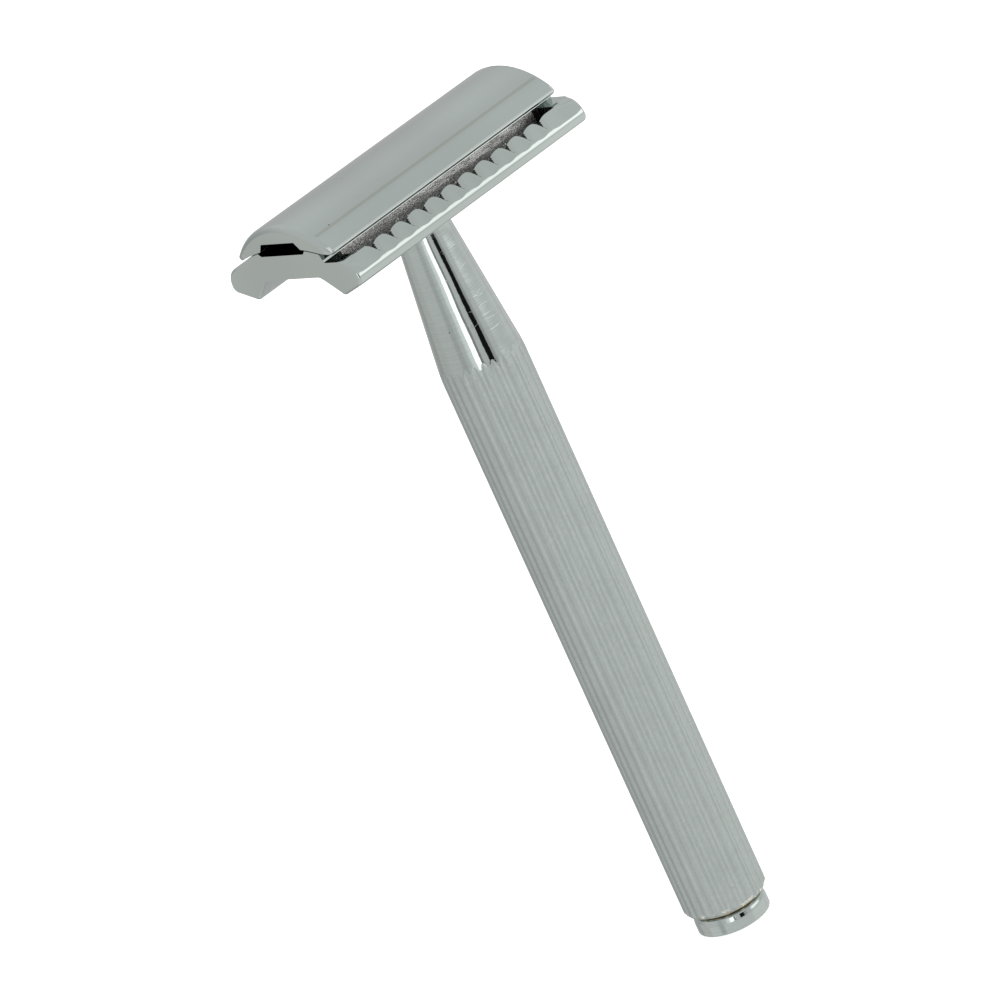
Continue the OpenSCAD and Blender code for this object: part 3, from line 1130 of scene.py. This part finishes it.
    def build(self) -> Piece:
        """Joins the petal row and both ends, mirrors them across and bores the plate.

        Returns:
            The base plate.
        """
        bed = self.levels.bed
        ends = [self.end_strip(side) for side in (-1, 1)]
        piece = self.petal_row()
        piece.name = piece.data.name = "base_plate_shell"
        select_only(*ends, piece)
        bpy.ops.object.join()
        apply_modifier(piece, "MIRROR", use_axis=(False, True, False), merge_threshold=SEAM_DISTANCE)
        tidy_shell(piece)
        low = bed - self.plate_t - self.boss_h
        cut_away(piece, [drum(self.boss_r, low, bed - self.plate_t + self.boss_root)], "UNION")
        low, high = low - 1, bed + 1
        holes = [drum(self.hole_r, low, high), drum(self.flange[0], bed - self.flange[1], high)]
        cut_away(piece, holes + self.levels.pin_drums(self.pin_hole_r, bed - 9, high))
        smooth(piece, 28)
        return piece

    def finish_of(self, face: bpy.types.MeshPolygon) -> PlateFinish:
        """Picks a face's finish by its place; notch bottoms and gutter ends get painted shade.

        Args:
            face: a face of the plate.

        Returns:
            The finish.
        """
        x, y, z = (c / MM for c in face.center)
        y, z = abs(y), z - self.levels.bed
        low, high = self.gutter_ends
        aside = (x - self.row_shift + self.pitch / 2) % self.pitch - self.pitch / 2
        reach = self.grime * (1 - (y - self.notch_in[0]) / self.grime_len)
        on_bar = self.bar_c[0] + 0.15 < y < self.notch_out[0] and z > self.notch_out[1]
        # painted shade in the bottom of each notch
        if low + self.pitch / 2 < x < high - 1.0 and on_bar and -reach / 5 < aside < reach:
            return PlateFinish.GRIMY
        inside = self.ledge_half - 0.35 < y < self.bar_c[0] + 0.2 and low - 0.13 < x < high + 0.13
        if not (inside and self.gutter_floor - 0.2 < z < self.land + 0.6):
            return PlateFinish.POLISHED
        # painted shade on the gutter's end pockets and end walls
        pocket = x < low + self.pocket or x > high - self.pocket or abs(face.normal.x) > 0.5
        return PlateFinish.GRIMY if pocket else PlateFinish.CAST

    def dress(self, shop: Workshop) -> None:
        """Builds the plate; its hollows keep the cast surface with painted glints, notch bottoms and gutter
        ends get painted shade, and the rest is polished.

        Args:
            shop: the finishes.
        """
        piece = self.build()
        for metal in (shop.chrome, shop.cast, shop.grime):
            piece.data.materials.append(metal)
        for face in piece.data.polygons:
            face.material_index = self.finish_of(face)
        seat(piece, Body.HANDLE, "base_plate")


# ---- Handle ----


@dataclass
class Handle:
    """The fluted grip that runs into a plain polished neck, with its brass washer."""

    levels: HeadLevels
    grip_r: float = 5.5
    low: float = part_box("handle_tube")[0].z / MM
    grip_top: float = 79.55
    neck_r: float = 3.5
    collar: float = 2.6
    flutes: int = 28
    flute_r: float = 1.0
    flute_depth: float = 0.14
    polish_from: float = 80.2
    chamfer: float = 0.5
    chamfer_slope: float = 0.7
    arches: Flat = (78.2, 0.1)
    neck_rows: Flat = (83.0, 1.23)
    bores: tuple[Flat, ...] = ((2.6, 85.6), (2.85, 11.15), (4.1, 2.85))
    washer: tuple[float, float, float, float] = (2.8, 4.35, 2.35, 2.85)
    blend_r: float = 20.0
    flare: Flat = (0.25, 2.2)

    def radius(self, z: float) -> float:
        """Radius of the turned outline.

        Args:
            z: height of the place.

        Returns:
            The radius there.
        """
        blend = self.blend_r
        slope = math.atan((self.grip_r - self.neck_r) / (self.levels.neck_top - self.grip_top - self.collar))
        start = self.grip_top - blend * math.tan(slope / 2)
        end = start + blend * math.sin(slope)
        if z < self.low + self.chamfer:
            return self.grip_r - self.chamfer * self.chamfer_slope * (1 - (z - self.low) / self.chamfer)
        if z < start:
            return self.grip_r
        if z < end:
            return self.grip_r - blend + math.sqrt(blend**2 - (z - start) ** 2)
        cone = self.grip_r - blend * (1 - math.cos(slope)) - (z - end) * math.tan(slope)
        foot = self.levels.neck_top - self.collar
        if z < foot:
            return cone
        return self.neck_r + self.flare[0] * ((z - foot) / self.collar) ** self.flare[1]

    def flute(self, turn: float) -> float:
        """Radius of the fluted surface.

        Args:
            turn: angle from a flute's middle, in radians.

        Returns:
            The radius there, infinite beside the flute.
        """
        middle = self.grip_r + self.flute_r - self.flute_depth
        side = middle * math.sin(turn)
        if abs(side) >= self.flute_r:
            return math.inf
        return middle * math.cos(turn) - math.sqrt(self.flute_r**2 - side**2)

    def heights(self) -> list[float]:
        """Lays out the sections, close together where the flutes run out.

        Returns:
            Their heights.
        """
        bottom = [self.low + h for h in (0, 0.25, 0.45, 0.5, 0.56, 0.9)]
        middle = [20.0, 40.0, 60.0, 76.0]
        arches = [self.arches[0] + self.arches[1] * i for i in range(46)]
        neck = [self.neck_rows[0] + self.neck_rows[1] * i for i in range(12)]
        top = self.levels.neck_top
        collar = [top - self.collar * f for f in (1.0, 0.8, 0.6, 0.45, 0.3, 0.2, 0.1, 0.0)]
        return bottom + middle + arches + neck + collar

    def build(self) -> Piece:
        """Lofts the sector of one flute with its bore and copies it round the axis.

        Returns:
            The handle.
        """
        pitch = math.tau / self.flutes
        half = [0, 0.16, 0.32, 0.48, 0.62, 0.74, 0.815, 0.87, 1.0]
        turns = [pitch / 2 * f for f in [-h for h in reversed(half[1:])] + half]

        def ring(radii: Sequence[float], z: float) -> list[Point]:
            """One section of the sector at a height."""
            return [(r * math.cos(t), r * math.sin(t), z) for r, t in zip(radii, turns)]

        rows = []
        for z in self.heights():
            plain = self.radius(z)
            rows.append(ring([min(plain, self.flute(t)) for t in turns], z))
        top, (guide, core, bush) = self.levels.neck_top, self.bores
        steps = [(guide[0], top), guide, (core[0], guide[1]), core, (bush[0], core[1]), (bush[0], self.low)]
        rows += [ring([r] * len(turns), z) for r, z in steps]
        rows.append(rows[0])
        bench = Bench("fluted_handle")
        bench.loft(rows)
        bench.turn(self.flutes, copies=True)
        bench.clean()
        piece = bench.leave()
        smooth(piece, 38, weighted=False)
        return piece

    def dress(self, shop: Workshop) -> None:
        """Builds the handle and its washer: satin below, polished above where the flutes end.

        Args:
            shop: the finishes.
        """
        piece = self.build()
        for metal in (shop.satin, shop.neck):
            piece.data.materials.append(metal)
        for face in piece.data.polygons:
            x, y, z = face.center / MM
            face.material_index = int(z > self.polish_from and math.hypot(x, y) > self.radius(z) - 0.01)
        seat(piece, Body.HANDLE, "handle_tube")
        inner, outer, low, high = self.washer
        edge = 0.06
        outline = [
            (inner, low), (outer - edge, low), (outer, low + edge),
            (outer, high - edge), (outer - edge, high), (inner, high), (inner, low)]
        ring = turned("brass_ring", outline)
        smooth(ring, 60)
        ring.data.materials.append(shop.brass)
        seat(ring, Body.HANDLE, "thrust_washer")


# ---- Knob ----


@dataclass
class Knob:
    """The turning knob at the foot, with the hub that runs up into the handle."""

    radius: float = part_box("knob")[1].x / MM
    hub_top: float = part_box("knob")[1].z / MM
    height: float = 2.3
    rim_r: float = 0.2
    barrel_r: float = 3.0
    barrel_z: float = 1.15
    barrel_turn: float = 18.0
    hub_r: float = 2.7
    bore: Flat = (1.75, 0.8)
    groove: tuple[float, float, float] = (2.35, 9.325, 9.875)

    def dress(self, shop: Workshop) -> None:
        """Turns the knob from its outline and polishes it.

        Args:
            shop: the finishes.
        """
        r, h = self.radius, self.height
        rim = arc((r - self.rim_r, self.rim_r), self.rim_r, -90, 0, 14)
        neck, low, high = self.groove
        barrel = arc((r - self.barrel_r, self.barrel_z), self.barrel_r, 0, self.barrel_turn, 10)
        edge = barrel[-1]
        outline = [(0, 0), (r / 2, 0)] + rim + barrel + [
            (edge[0] - 0.05, edge[1] + 0.08), (edge[0] - 0.22, h - 0.03), (edge[0] - 0.3, h),
            (self.hub_r, h), (self.hub_r, low), (neck, low), (neck, high), (self.hub_r, high),
            (self.hub_r, self.hub_top), (self.bore[0], self.hub_top), self.bore, (0, self.bore[1])]
        piece = turned("knob_body", outline)
        smooth(piece, 34)
        piece.data.materials.append(shop.neck)
        seat(piece, Body.DRAWBAR, "knob")


@dataclass
class Works:
    """The small parts inside, which keep their CAD shape and get their own finish."""

    brass: tuple[str, ...] = ("neck_ferrule", "rod_socket", "bottom_bush", "clip_washer")
    steel: tuple[str, ...] = ("cap_stud", "draw_rod", "socket_pin", "retaining_clip", "knob_pin")

    def dress(self, shop: Workshop) -> None:
        """Gives each carried-over node its metal.

        Args:
            shop: the finishes.
        """
        for names, metal in ((self.brass, shop.brass), (self.steel, shop.steel)):
            for name in names:
                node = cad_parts[name]
                node.data.materials.clear()
                node.data.materials.append(metal)
                LOG.info("%s keeps its CAD shape, in %s", name, metal.name)


# ---- Studio ----


@dataclass
class Camera:
    """The viewpoint: turned round the handle, raised, and rolled about the line of sight."""

    turn: float = 36.614
    rise: float = 18.649
    roll: float = -24.483
    distance: float = 850.0
    aim: float = 50.0
    shift: Flat = (9.457, 8.624)
    lens: float = 251.1
    sensor: float = 36.0
    clip: Flat = (10.0, 20000.0)

    def place(self) -> None:
        """Adds the camera and makes it the scene's."""
        b, e, r = (math.radians(a) for a in (self.turn, self.rise, self.roll))
        back = Vector((-math.sin(b) * math.cos(e), -math.cos(b) * math.cos(e), math.sin(e)))
        right = Vector((math.cos(b), -math.sin(b), 0))
        up = back.cross(right)
        right, up = math.cos(r) * right + math.sin(r) * up, math.cos(r) * up - math.sin(r) * right
        spot = Vector((0, 0, self.aim)) + self.distance * back - self.shift[0] * right + self.shift[1] * up
        lens = bpy.data.cameras.new("camera")
        lens.sensor_width, lens.lens = self.sensor, self.lens
        lens.clip_start, lens.clip_end = (distance * MM for distance in self.clip)
        camera = bpy.data.objects.new("camera", lens)
        turn = Matrix((right, up, back)).transposed().to_4x4()
        camera.matrix_world = Matrix.Translation(spot * MM) @ turn
        bpy.context.scene.collection.objects.link(camera)
        bpy.context.scene.camera = camera


@dataclass(frozen=True)
class Glow:
    """A soft-edged patch of the tent: where it is, how far it reaches, and its light.

    Turns are degrees to the right of the camera's own direction, and rises are degrees above level.
    """

    turn: float
    half_turn: float
    soft_turn: float
    rise: float
    half_rise: float
    soft_rise: float
    light: Colour


@dataclass
class Studio:
    """Pale floor in an even pale tent whose cloth is lighter and darker in places.

    The patches are laid out so that the metal mirrors them where the photograph shows them.
    """

    camera: Camera
    floor_size: float = 6000.0
    floor_drop: float = 0.02
    floor_shade: float = 0.98
    floor_spread: float = 0.01
    floor_glow: float = 0.55
    even: float = 0.8
    below: float = 0.9
    below_rise: Flat = (-17.0, -10.0)
    rear: Flat = (0.54, 0.84)
    rear_rise: Flat = (-5.0, 50.0)
    rear_turn: float = -155.0
    rear_half: Flat = (35.0, 65.0)
    lamp_size: float = 1200.0
    lamp_height: float = 1600.0
    glows: tuple[Glow, ...] = (
        Glow(-48, 4, 7, 0, 25, 10, (0.66, 0.67, 0.67)),
        Glow(-16, 6, 12, 0, 10, 5, (1.2, 1.22, 1.22)),
        Glow(-9, 5.5, 4, 0, 9, 3, (2.6, 2.6, 2.6)),
        Glow(-1, 2.5, 1.5, 0, 9, 3, (0.4, 0.4, 0.4)),
        Glow(30, 5, 7, 0, 9, 3, (0.55, 0.56, 0.56)),
        Glow(23.5, 6.2, 1.5, 0, 9, 3, (0.012, 0.012, 0.012)),
        Glow(88, 25, 14, -34, 20, 8, (1.03, 1.03, 1.01)),
        Glow(75, 13, 12, 3.0, 3.5, 8, (1.85, 1.84, 1.8)),
        Glow(110, 8, 12, 40, 20, 14, (0.83, 0.84, 0.84)),
        Glow(132, 0.5, 4.5, 56, 4, 6, (0.69, 0.68, 0.63)),
        Glow(-107, 10, 14, -19, 6, 9, (0.76, 0.75, 0.72)),
        Glow(172, 4, 3, -2, 9, 5, (0.12, 0.12, 0.12)),
        Glow(-166, 5, 6, -2, 9, 6, (0.95, 0.95, 0.95)),
    )

    def paint(self) -> Material:
        """Makes the floor's matt paint: faintly uneven, with a little glow for the camera only.

        Returns:
            The material.
        """
        material = bpy.data.materials.new("pale_floor")
        material.use_nodes = True
        nodes = Nodes(material.node_tree)
        shader = nodes.tree.nodes["Principled BSDF"]
        cloud = nodes.add("TexNoise", Scale=3.0, Detail=2.0).outputs[0]
        dark, light = self.floor_shade * (1 - self.floor_spread), self.floor_shade
        seen = nodes.add("LightPath").outputs["Is Camera Ray"]
        looks = {
            "Base Color": nodes.mix(cloud, (dark, dark, dark, 1), (light, light, light, 1)),
            "Roughness": 1.0,
            "Specular IOR Level": 0.0,
            "Emission Color": (1, 1, 1, 1),
            "Emission Strength": nodes.times(seen, self.floor_glow),
        }
        for name, value in looks.items():
            nodes.feed(shader, name, value)
        return material

    def hang_tent(self) -> None:
        """Makes the tent: one even light with the glows laid over it, by direction only."""
        world = bpy.data.worlds.new("tent")
        world.use_nodes = True
        n = Nodes(world.node_tree)

        def wrapped(turn: Socket, shift: float) -> Socket:
            """A shifted angle, brought back to between -180 and 180 degrees."""
            return n.maths("WRAP", n.plus(turn, shift), 180.0, -180.0)

        x, y, z = n.add("SeparateXYZ", Vector=n.add("TexCoord").outputs["Generated"]).outputs
        rise = n.maths("DEGREES", n.maths("ARCSINE", z))
        turn = n.maths("DEGREES", n.maths("ARCTAN2", x, n.times(y, -1.0)))
        turn = wrapped(turn, self.camera.turn)
        light = n.ramp(rise, *self.below_rise, self.below, self.even)
        back = n.ramp(n.maths("ABSOLUTE", wrapped(turn, -self.rear_turn)), *self.rear_half, 1.0, 0.0)
        rear = n.ramp(rise, *self.rear_rise, *self.rear)
        shade = n.plus(n.times(back, rear), n.times(n.minus(1.0, back), light))
        colour = n.add("CombineColor", Red=shade, Green=shade, Blue=shade).outputs[0]
        for glow in self.glows:
            aside, above = n.away(turn, glow.turn), n.away(rise, glow.rise)
            share = n.times(
                n.ramp(aside, glow.half_turn, glow.half_turn + glow.soft_turn, 1.0, 0.0),
                n.ramp(above, glow.half_rise, glow.half_rise + glow.soft_rise, 1.0, 0.0))
            colour = n.mix(share, colour, (*glow.light, 1))
        n.feed(n.tree.nodes["Background"], "Color", colour)
        bpy.context.scene.world = world

    def place(self) -> None:
        """Sets up the floor, the tent and the soft light overhead."""
        bpy.context.scene.view_settings.view_transform = "Standard"
        deselect_all()
        bpy.ops.mesh.primitive_grid_add(x_subdivisions=8, y_subdivisions=8, size=self.floor_size * MM)
        floor = bpy.context.object
        floor.name = "studio_floor"
        floor.data.transform(Matrix.Translation((0, 0, -self.floor_drop * MM)))
        floor.data.materials.append(self.paint())
        floor.visible_glossy = False
        self.hang_tent()
        lamp = bpy.data.lights.new("overhead", "AREA")
        lamp.shape, lamp.size, lamp.energy = "DISK", self.lamp_size * MM, 1.0
        light = bpy.data.objects.new("overhead", lamp)
        light.matrix_world = Matrix.Translation((0, 0, self.lamp_height * MM))
        light.visible_glossy = False
        bpy.context.scene.collection.objects.link(light)


def main() -> None:
    """Builds the razor and its studio, and notes the sizes."""
    logging.basicConfig(level=logging.INFO, format="%(message)s")
    camera = Camera()
    camera.place()
    Studio(camera).place()
    shop = Workshop()
    levels = HeadLevels()
    Cap(levels).dress(shop)
    BasePlate(levels).dress(shop)
    Handle(levels).dress(shop)
    Knob().dress(shop)
    Works().dress(shop)
    deselect_all()


if __name__ == "__main__":
    main()
